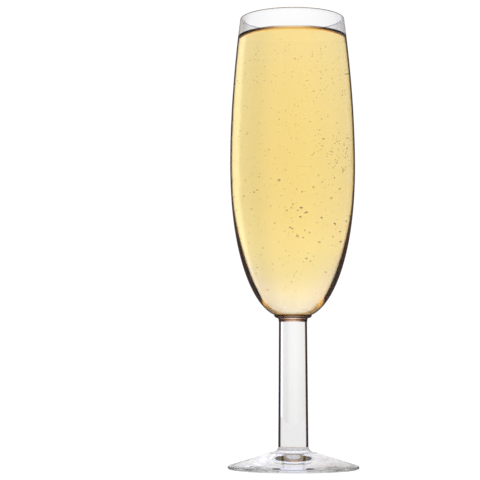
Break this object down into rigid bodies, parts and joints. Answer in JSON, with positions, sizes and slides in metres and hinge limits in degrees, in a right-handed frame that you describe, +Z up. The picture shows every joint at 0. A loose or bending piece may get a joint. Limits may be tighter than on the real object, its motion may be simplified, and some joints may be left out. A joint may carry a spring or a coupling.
{
  "type": "champagne flute",
  "caption": "Oversized stemmed flute in clear glass: tall tulip bowl, thick solid stem and shallow conical foot, fused at two solid collars.",
  "frame": {"origin": "on the flute's axis, at the level of the table that the foot stands on", "axes": "+Z up along the axis, from the foot to the rim; the flute is round, so +X and +Y are any two directions across it"},
  "size_m": [0.0922, 0.0922, 0.32],
  "materials": {
    "bowl_glass": "clear polished blown glass, colourless",
    "stem_glass": "clear polished glass, colourless",
    "foot_glass": "clear pressed glass, colourless, fire polished",
    "champagne": "clear pale gold liquid with fine bubbles, shown in the bowl by the visual model only"
  },
  "bodies": {
    "root": {"bowl": "bowl_glass", "bowl_collar": "bowl_glass", "stem": "stem_glass", "foot_collar": "foot_glass", "foot": "foot_glass"}
  },
  "joints": []
}
